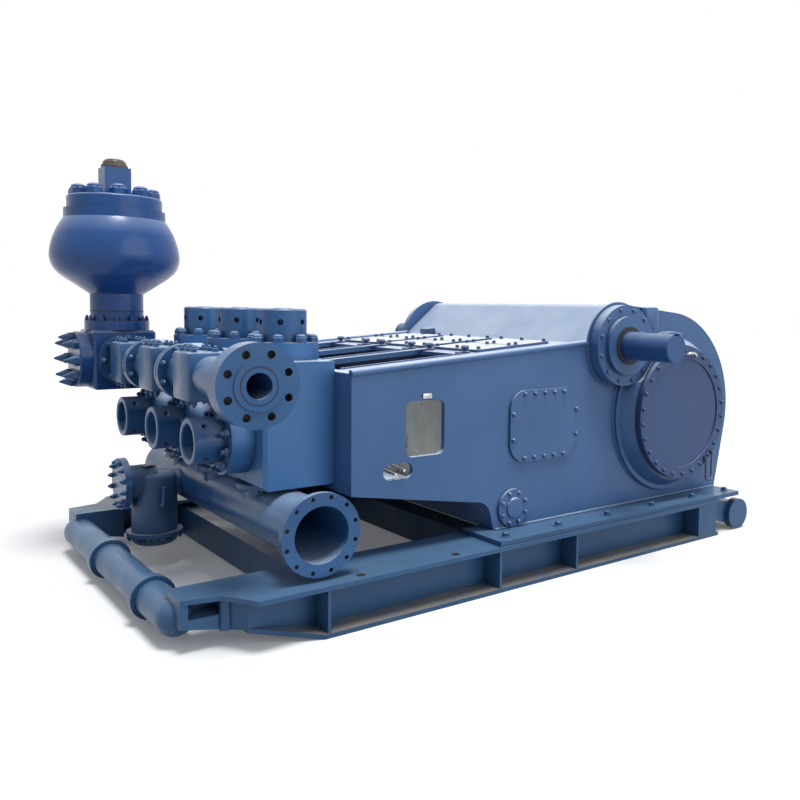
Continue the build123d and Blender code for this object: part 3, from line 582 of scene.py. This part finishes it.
tee_nut = nut_shape(0.017, 0.02, 0.014)
TEE_HALF = Vector((0.128, 0.132, 0.132))
for bore in BORES:
    at = Vector((line_x, middle(f"{bore}_module").y, line_z))
    body = block_mesh(at - TEE_HALF, at + TEE_HALF, 0.022)
    # Studs stand in the flat top and bottom of each tee.
    spots = [
        facing(at + Vector((dx, dy, end.z * TEE_HALF.z)), end)
        for end in (UP, DOWN) for dx in (-0.085, 0.03) for dy in (-0.088, 0.0, 0.088)
    ]
    add_piece(f"{bore}_tee_body", body, fluid_end_enamel)
    add_piece(f"{bore}_tee_studs", copies(tee_nut, spots), fluid_end_enamel)

# Bolted flange pairs between the tees.
PAIR_HALF = 0.034
for name, y in (("near", -bore_pitch / 2), ("far", bore_pitch / 2)):
    at = Vector((line_x, y, line_z))
    shapes = [ring_mesh(band(LINE_R, 0.158, end * PAIR_HALF - 0.014, end * PAIR_HALF + 0.014), facing(at, FAR_OUT), 48)
              for end in (-0.55, 0.55)]
    add_piece(f"{name}_line_flanges", joined(shapes), fluid_end_enamel)
    spots = [place for way in (NEAR_OUT, FAR_OUT)
             for place in bolt_circle(at + way * (0.55 * PAIR_HALF + 0.014), way, 0.137, 8, 22.5)]
    add_piece(f"{name}_line_nuts", copies(tee_nut, spots), fluid_end_enamel)

near_flange = Vector((line_x, cross_low.y - CROSS_FLANGE_T, line_z))
cross_nuts = copies(port_nut, bolt_circle(near_flange, NEAR_OUT, 0.150, 8, 0))
add_piece("cross_flange_nuts", cross_nuts, fluid_end_enamel)
blind_low, blind_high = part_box("cross_blind_flange")
blind_face = Vector((blind_low.x, cross_at.y, line_z))
blind_stud = pointed_nut_shape(0.037, 0.030, 0.062)
add_piece("blind_flange_studs", copies(blind_stud, bolt_circle(blind_face, FRONT, 0.150, 8, 0)),
          fluid_end_enamel)

# ---- pulsation dampener ----
FOOT_TOP, NECK_R = 1.579, 0.168
foot_at = Vector((line_x, cross_at.y, FOOT_TOP))
foot_nut = nut_shape(0.0155, 0.02, 0.016)
add_piece("dampener_foot_studs", copies(foot_nut, bolt_circle(foot_at, UP, 0.187, 12, 15)),
          dampener_enamel)
joint = ring_mesh(band(NECK_R - 0.001, NECK_R + 0.0012, 0.063, 0.069), facing(foot_at, UP), 64)
add_piece("dampener_joint_line", joint, gasket_black)
lid_low, lid_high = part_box("dampener_cover")
lid_top = Vector((cross_at.x, cross_at.y, lid_high.z))
lid_nut = dome_nut_shape(0.056, 0.070)
add_piece("dampener_cover_nuts", copies(lid_nut, bolt_circle(lid_top, UP, 0.238, 10, 9)),
          dampener_enamel)
block_low, block_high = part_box("dampener_valve_block")
grip = ring_mesh(
    [(0.074, 0.0), (0.084, 0.0), (0.084, 0.016), (0.079, 0.021), (0.074, 0.021), (0.074, 0.0)],
    facing(Vector((cross_at.x, cross_at.y, block_high.z - 0.060)), UP), 40)
add_piece("dampener_cap_collar", grip, rust_brown)

# ---- suction line and stabilizer ----
suction_low, suction_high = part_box("suction_manifold")
riser_bolt = bolt_shape(0.014, 0.016)
RISER_FLANGE_T = 0.026
for bore in BORES:
    module_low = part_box(f"{bore}_module")[0]
    riser = Vector((-1.45, middle(f"{bore}_module").y, module_low.z - RISER_FLANGE_T))
    add_piece(f"{bore}_riser_bolts", copies(riser_bolt, bolt_circle(riser, DOWN, 0.164, 12, 15)),
              fluid_end_enamel)
dome = [(0.0, -0.004), (0.161, -0.004), (0.161, 0.012), (0.146, 0.036), (0.105, 0.056), (0.05, 0.065), (0.0, 0.067)]
add_piece("suction_end_dome", ring_mesh(dome, facing(Vector((-1.45, suction_high.y, 0.517)), FAR_OUT), 48),
          fluid_end_enamel)

pot_low, pot_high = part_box("suction_stabilizer")
disc_low, disc_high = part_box("stabilizer_cover")
disc_at = Vector((disc_low.x, (disc_low.y + disc_high.y) / 2, (disc_low.z + disc_high.z) / 2))
pot_at = Vector((pot_high.x - 0.140, disc_at.y, pot_low.z))
disc_nut = nut_shape(0.017, 0.018, 0.014)
add_piece("stabilizer_cover_nuts", copies(disc_nut, bolt_circle(disc_at, FRONT, 0.140, 12, 15)),
          fluid_end_enamel)
shoe = pot_at + UP * 0.062
add_piece("stabilizer_shoe", ring_mesh(band(0.138, 0.172, 0.0, 0.026), facing(shoe, UP), 48),
          weathered_enamel)
add_piece("stabilizer_shoe_bolts", copies(disc_nut, bolt_circle(shoe, DOWN, 0.156, 12, 0)),
          weathered_enamel)
tag = block_mesh((-0.034, -0.026, 0), (0.034, 0.026, 0.003), 0.001)
tag_place = Matrix.Translation((pot_at.x - 0.05, pot_at.y - 0.05, pot_high.z)) @ Matrix.Rotation(0.5, 4, "Z")
add_piece("stabilizer_tag", placed(tag, tag_place), tag_white, smooth_angle=0)
spout = rod_mesh([Vector((pot_at.x, pot_at.y - 0.138, 0.40)) + Vector(p) for p in (
    (0, 0.02, 0), (0, -0.03, 0), (0, -0.062, 0.004), (0, -0.066, 0.04), (0, -0.066, 0.13))], 0.013)
add_piece("stabilizer_charge_pipe", spout, fluid_end_enamel)

# ---- deck ----
DECK_TILT = math.radians(4.6)
DECK_FRONT_X, DECK_FRONT_Z = -1.195, 1.334
COVER_T = 0.018


def on_deck(x, y, lift=0.0):
    """Place on the sloping deck, its local Z square to the deck."""
    height = DECK_FRONT_Z + (x - DECK_FRONT_X) * math.tan(DECK_TILT)
    return Matrix.Translation((x, y, height)) @ Matrix.Rotation(-DECK_TILT, 4, "Y") @ Matrix.Translation((0, 0, lift))


deck_bolt = bolt_shape(0.012, 0.02)
clamp_parts = [finish_mesh(turned(
    [(0, 0), (0.032, 0), (0.032, 0.010), (0.015, 0.014), (0.014, 0.024), (0.026, 0.030), (0.029, 0.041),
     (0.022, 0.051), (0, 0.055)], 14), "knob"), block_mesh((-0.075, -0.014, 0), (0.02, 0.014, 0.014), 0.003)]
clamp = joined(clamp_parts)
lid_x0, lid_x1 = -0.150, 0.480
for bore in BORES:
    y = middle(f"{bore}_module").y
    xs = (lid_x0 + 0.03, 0.135, 0.195, lid_x1 - 0.03)
    places = [on_deck(x, y + dy, COVER_T) for x in xs for dy in (-0.235, 0.0, 0.235)]
    add_piece(f"{bore}_deck_cover_bolts", copies(deck_bolt, places), cover_enamel)
    seam = block_mesh((-0.004, -0.26, -0.002), (0.004, 0.26, 0.0008), 0.0004)
    add_piece(f"{bore}_deck_cover_seam", placed(seam, on_deck(0.165, y, COVER_T)), gasket_black,
              smooth_angle=0)
    add_piece(f"{bore}_slot_clamps", copies(clamp, [on_deck(-0.205, y + dy) for dy in (-0.205, 0.205)]),
              cover_enamel)
    # Folded lip round the open slot.
    lip = [((-1.127, y - 0.253), (-0.262, y - 0.245)), ((-1.127, y + 0.245), (-0.262, y + 0.253))]
    strips = []
    for (x0, y0), (x1, y1) in lip:
        length = (x1 - x0) / math.cos(DECK_TILT)
        strips.append(placed(block_mesh((0, 0, -0.002), (length, y1 - y0, 0.009), 0.002), on_deck(x0, y0)))
    add_piece(f"{bore}_slot_lips", joined(strips), frame_enamel, smooth_angle=0)

hood_block = block_mesh((-0.05, -0.05, -0.002), (0.05, 0.05, 0.06), 0.012)
add_piece("hood_foot_block", placed(hood_block, on_deck(0.55, 0.72)), cover_enamel)

# ---- frame walls: window lug, slot pipes, hub block, welds and hold-down bolts ----
hold_down = bolt_shape(0.022, 0.028)
flange_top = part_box("near_base_flange")[1].z
for side, sign in SIDES.items():
    out = Vector((0, sign, 0))
    lug = block_mesh((-0.735, -1.152, 1.172), (-0.672, -1.139, 1.204), 0.004)
    add_piece(f"{side}_window_lug", mirrored(lug, sign), bright_steel)
    pipes = [rod_mesh([(x, -1.165, z), (x + 0.004, -1.10, z), (x + 0.01, -1.00, z + 0.004)], 0.0095)
             for x, z in ((-0.925, 0.752), (-0.868, 0.770))]
    add_piece(f"{side}_slot_pipes", mirrored(joined(pipes), sign), bright_steel)
    knuckle = block_mesh((1.13, -1.215, 1.575), (1.28, -1.139, 1.742), 0.034)
    add_piece(f"{side}_hub_block", mirrored(knuckle, sign), frame_enamel)
    breather = nut_shape(0.022, 0.018, 0.055, 0.6)
    add_piece(f"{side}_case_fitting", placed(breather, facing(Vector((2.112, sign * 1.09, 0.60)), REAR)),
              rust_brown)
    spots = [facing(Vector((x, sign * 1.30, flange_top)), UP) for x in (-0.22, 0.22, 0.68, 1.14, 1.60, 2.00)]
    add_piece(f"{side}_hold_down_bolts", copies(hold_down, spots), skid_enamel)
    bead = rod_mesh([(x, sign * 1.144, flange_top + 0.004) for x in (-0.18, 0.5, 1.2, 2.06)], 0.008, 1)
    boss_ring = Vector((crank.x, sign * wall_y, crank.z))
    around = ring_mesh([(0.589, 0.0), (0.600, 0.0), (0.597, 0.006), (0.589, 0.010), (0.589, 0.0)],
                       facing(boss_ring, out), 96)
    add_piece(f"{side}_frame_welds", joined([bead, around]), frame_enamel)

# ---- skid: rounded tow-pipe ends, nose plates and black discs as painted shade of bolt holes ----
PIPE_R = 0.095
pipe_at = Vector((-2.094, 0, 0.140))
pipe_end = [(0, 0), (PIPE_R, 0), (PIPE_R, 0.05), (0.088, 0.086), (0.067, 0.117), (0.036, 0.138), (0, 0.145), (0, 0)]
nose_cut = Vector((-0.085, -0.080, 0)).normalized()
# Black discs on the runners stand for bolt holes: painted shade.
hole_shade_disc = ring_mesh([(0, -0.002), (0.026, -0.002), (0.026, 0.001), (0, 0.001)], Matrix.Identity(4), 24)
for side, sign in SIDES.items():
    out = Vector((0, sign, 0))
    end = ring_mesh(pipe_end, facing(pipe_at + out * 0.944, out), 40)
    add_piece(f"{side}_tow_pipe_end", end, skid_enamel)
    bm = bmesh.new()
    bmesh.ops.create_cube(bm, size=1, matrix=Matrix.Translation((-1.865, -1.1715, 0.1675)) @ Matrix.Diagonal((0.082, 0.143, 0.163, 1)))
    bmesh.ops.bisect_plane(bm, geom=bm.verts[:] + bm.edges[:] + bm.faces[:], plane_co=(-1.905, -1.158, 0),
                           plane_no=nose_cut, clear_outer=True)
    bmesh.ops.holes_fill(bm, edges=[e for e in bm.edges if e.is_boundary], sides=0)
    add_piece(f"{side}_nose_gusset", mirrored(finish_mesh(bm, "gusset"), sign), skid_enamel, smooth_angle=0)
    spots = [Matrix.Translation((x, sign * 1.33, 0.274)) for x in (-1.24, -0.62)]
    end_plate = block_mesh((1.59, -1.389, 0.024), (1.792, -1.377, 0.250), 0.002)
    add_piece(f"{side}_runner_end_plate", mirrored(end_plate, sign), skid_enamel, smooth_angle=0)
    add_piece(f"{side}_runner_hole_shades", copies(hole_shade_disc, spots), gasket_black, smooth_angle=0)

# ---- camera ----
YAW, PITCH, ROLL = (math.radians(a) for a in (40.287, 4.056, 0.964))
forward = Vector((math.sin(YAW) * math.cos(PITCH), math.cos(YAW) * math.cos(PITCH), -math.sin(PITCH)))
level_right = Vector((math.cos(YAW), -math.sin(YAW), 0))
level_up = level_right.cross(forward)
right = level_right * math.cos(ROLL) + level_up * math.sin(ROLL)
upright = level_up * math.cos(ROLL) - level_right * math.sin(ROLL)
camera_data = bpy.data.cameras.new("camera")
camera_data.sensor_width = 36.0
camera_data.lens = 37.11
camera_data.shift_x = -0.15
camera_data.shift_y = -0.0387
camera_data.clip_end = 200.0
camera = bpy.data.objects.new("camera", camera_data)
camera.matrix_world = Matrix((
    (right.x, upright.x, -forward.x, -3.3932),
    (right.y, upright.y, -forward.y, -5.1526),
    (right.z, upright.z, -forward.z, 1.6947),
    (0, 0, 0, 1),
))
bpy.context.scene.collection.objects.link(camera)
bpy.context.scene.camera = camera

# ---- floor, world and lamps ----
floor_mesh = bpy.data.meshes.new("floor")
bm = bmesh.new()
bmesh.ops.create_grid(bm, x_segments=2, y_segments=2, size=60)
bm.to_mesh(floor_mesh)
bm.free()
floor = bpy.data.objects.new("floor", floor_mesh)
bpy.context.scene.collection.objects.link(floor)
pale_floor = Recipe("pale_floor")
pale_floor.shader.inputs["Roughness"].default_value = 0.9
pale_floor.shader.inputs["Emission Color"].default_value = (1, 1, 1, 1)
paths = pale_floor.add("ShaderNodeLightPath")
seen = pale_floor.add("ShaderNodeMath")
seen.operation = "MAXIMUM"
pale_floor.join(paths.outputs["Is Camera Ray"], seen.inputs[0])
pale_floor.join(paths.outputs["Is Glossy Ray"], seen.inputs[1])
pale_floor.join(pale_floor.ramp(seen.outputs[0], 0, 1, 0, 0.10), pale_floor.shader.inputs["Emission Strength"])
tone = pale_floor.blend(pale_floor.ramp(pale_floor.noise(0.6, 4), 0.3, 0.7), (0.82, 0.825, 0.83), (0.80, 0.805, 0.81))
tone = pale_floor.blend(seen.outputs[0], (0.26, 0.27, 0.29), tone)
pale_floor.join(tone, pale_floor.shader.inputs["Base Color"])
floor_mesh.materials.append(pale_floor.material)

world = bpy.data.worlds.new("studio")
bpy.context.scene.world = world
world.use_nodes = True
tree = world.node_tree
tree.nodes.clear()
sky = tree.nodes.new("ShaderNodeBackground")
sky.inputs["Color"].default_value = (0.86, 0.92, 1.0, 1)
sky.inputs["Strength"].default_value = 0.38
backdrop = tree.nodes.new("ShaderNodeBackground")
backdrop.inputs["Color"].default_value = (1, 1, 1, 1)
backdrop.inputs["Strength"].default_value = 1.0
either = tree.nodes.new("ShaderNodeMath")
either.operation = "MAXIMUM"
third = tree.nodes.new("ShaderNodeMath")
third.operation = "MAXIMUM"
rays = tree.nodes.new("ShaderNodeLightPath")
tree.links.new(rays.outputs["Is Camera Ray"], either.inputs[0])
tree.links.new(rays.outputs["Is Glossy Ray"], either.inputs[1])
tree.links.new(either.outputs[0], third.inputs[0])
tree.links.new(rays.outputs["Is Transmission Ray"], third.inputs[1])
mix = tree.nodes.new("ShaderNodeMixShader")
tree.links.new(third.outputs[0], mix.inputs[0])
tree.links.new(sky.outputs[0], mix.inputs[1])
tree.links.new(backdrop.outputs[0], mix.inputs[2])
out = tree.nodes.new("ShaderNodeOutputWorld")
tree.links.new(mix.outputs[0], out.inputs[0])


def sun(name, towards, strength, angle, colour):
    lamp = bpy.data.lights.new(name, "SUN")
    lamp.energy = strength
    lamp.angle = math.radians(angle)
    lamp.color = colour
    holder = bpy.data.objects.new(name, lamp)
    holder.rotation_euler = DOWN.rotation_difference(Vector(towards)).to_euler()
    bpy.context.scene.collection.objects.link(holder)


sun("key", (-0.03, 0.19, -1.0), 2.7, 20, (1.0, 0.985, 0.96))
sun("fill", (-0.40, 0.95, -0.30), 0.9, 50, (0.9, 0.95, 1.0))

bpy.context.scene.view_settings.view_transform = "Standard"
